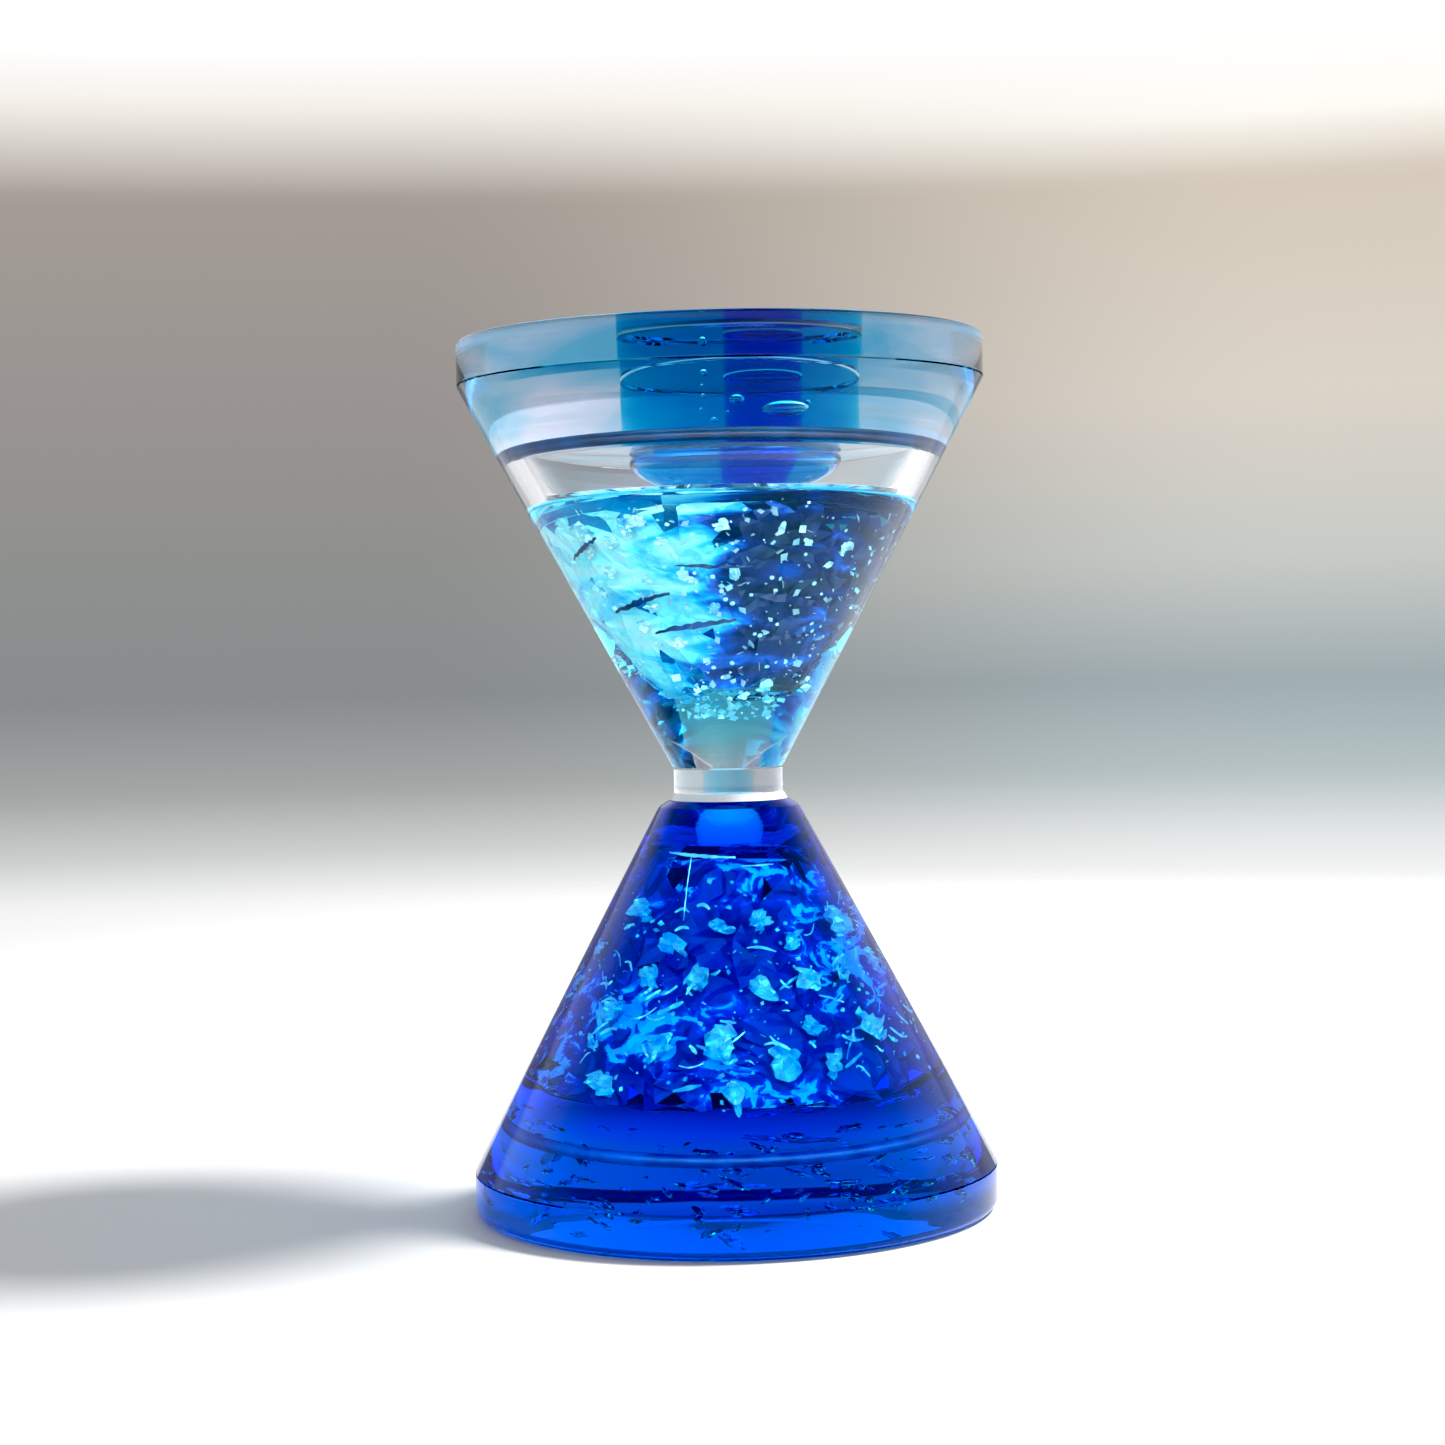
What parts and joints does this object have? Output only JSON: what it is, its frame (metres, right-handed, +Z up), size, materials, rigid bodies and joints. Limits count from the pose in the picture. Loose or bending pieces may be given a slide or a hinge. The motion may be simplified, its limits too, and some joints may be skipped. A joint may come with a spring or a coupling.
{
  "type": "liquid hourglass",
  "caption": "Sealed ornament hourglass: clear upper cone and cobalt lower cone on a short clear neck, flat end caps, dyed liquid with loose crumpled foil and glitter.",
  "frame": {"origin": "centre of the lower resting face, on the axis of revolution", "axes": "+Z up along the axis of revolution; -Y towards the side that shows most foil"},
  "size_m": [0.0604, 0.0604, 0.1],
  "materials": {
    "clear_resin": "polished, clear",
    "cobalt_resin": "polished, transparent tint",
    "plug_resin": "polished, transparent tint",
    "pin_resin": "polished",
    "adhesive": "glossy, faint bubbles",
    "seal_rubber": "smooth, wetted",
    "cyan_liquid": "clear dyed liquid",
    "cobalt_liquid": "deep dyed liquid",
    "foil": "mirror-bright, crumpled",
    "lower_film": "crumpled pearl film",
    "upper_film": "crumpled pearl film",
    "glitter": "iridescent film"
  },
  "bodies": {
    "vessel": {"upper_cone_shell": "clear_resin", "neck_collar": "clear_resin", "upper_end_cap": "clear_resin", "flow_nozzle": "clear_resin", "lower_cone_shell": "cobalt_resin", "lower_end_cap": "cobalt_resin", "upper_filler_plug": "plug_resin", "plug_pin": "pin_resin", "neck_bond_upper": "adhesive", "neck_bond_lower": "adhesive", "upper_rim_bond": "adhesive", "lower_rim_bond": "adhesive", "upper_cap_seal": "seal_rubber", "lower_cap_seal": "seal_rubber", "upper_liquid": "cyan_liquid", "lower_liquid": "cobalt_liquid"},
    "lower_flakes": {"lower_foil_flakes": "foil", "lower_glitter": "glitter", "lower_film": "lower_film"},
    "upper_flakes": {"upper_foil_flakes": "foil", "upper_glitter": "glitter", "upper_film": "upper_film"}
  },
  "joints": [
    {"name": "lower_flakes_drift", "type": "slide", "parent": "vessel", "child": "lower_flakes", "axis": [0, 0, 1], "range_m": [-0.0025, 0], "deforming": ["lower_liquid"]},
    {"name": "upper_flakes_drift", "type": "slide", "parent": "vessel", "child": "upper_flakes", "axis": [0, 0, 1], "range_m": [-0.0025, 0], "deforming": ["upper_liquid"]}
  ]
}
